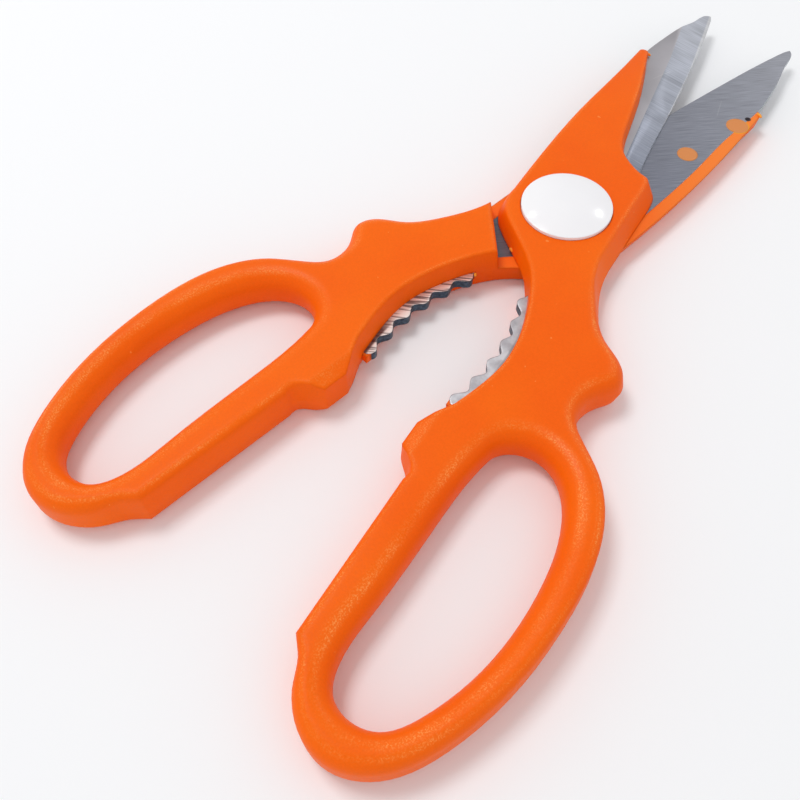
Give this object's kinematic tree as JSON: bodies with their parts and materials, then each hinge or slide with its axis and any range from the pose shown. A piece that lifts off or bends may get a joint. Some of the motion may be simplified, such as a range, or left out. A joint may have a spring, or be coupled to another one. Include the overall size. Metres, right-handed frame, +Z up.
{
  "type": "kitchen shears",
  "caption": "Kitchen shears with moulded finger-loop handles, short pointed blades, a serrated jaw between the handles and a capped pivot, standing part open.",
  "frame": {"origin": "middle of the shears' box, on the surface that they lie on, as they lie open by 15 degrees", "axes": "+Z up through the pivot, +Y towards the tips along the middle line between the two halves, +X towards the upper half's finger loop"},
  "size_m": [0.0986, 0.2014, 0.0116],
  "materials": {
    "steel": "brushed",
    "orange_plastic": "satin",
    "white_plastic": "gloss",
    "fastener_steel": "satin"
  },
  "bodies": {
    "lower_half": {"lower_blade": "steel", "lower_handle": "orange_plastic", "lower_cap": "white_plastic", "pivot_bolt": "fastener_steel", "upper_washer": "fastener_steel", "spring_washer": "fastener_steel", "pivot_nut": "fastener_steel"},
    "upper_half": {"upper_blade": "steel", "upper_handle": "orange_plastic", "upper_cap": "white_plastic"}
  },
  "joints": [
    {"name": "blade_pivot", "type": "hinge", "parent": "lower_half", "child": "upper_half", "pos_m": [0, 0.01319, 0], "axis": [0, 0, 1], "range_deg": [-15, 35]}
  ]
}
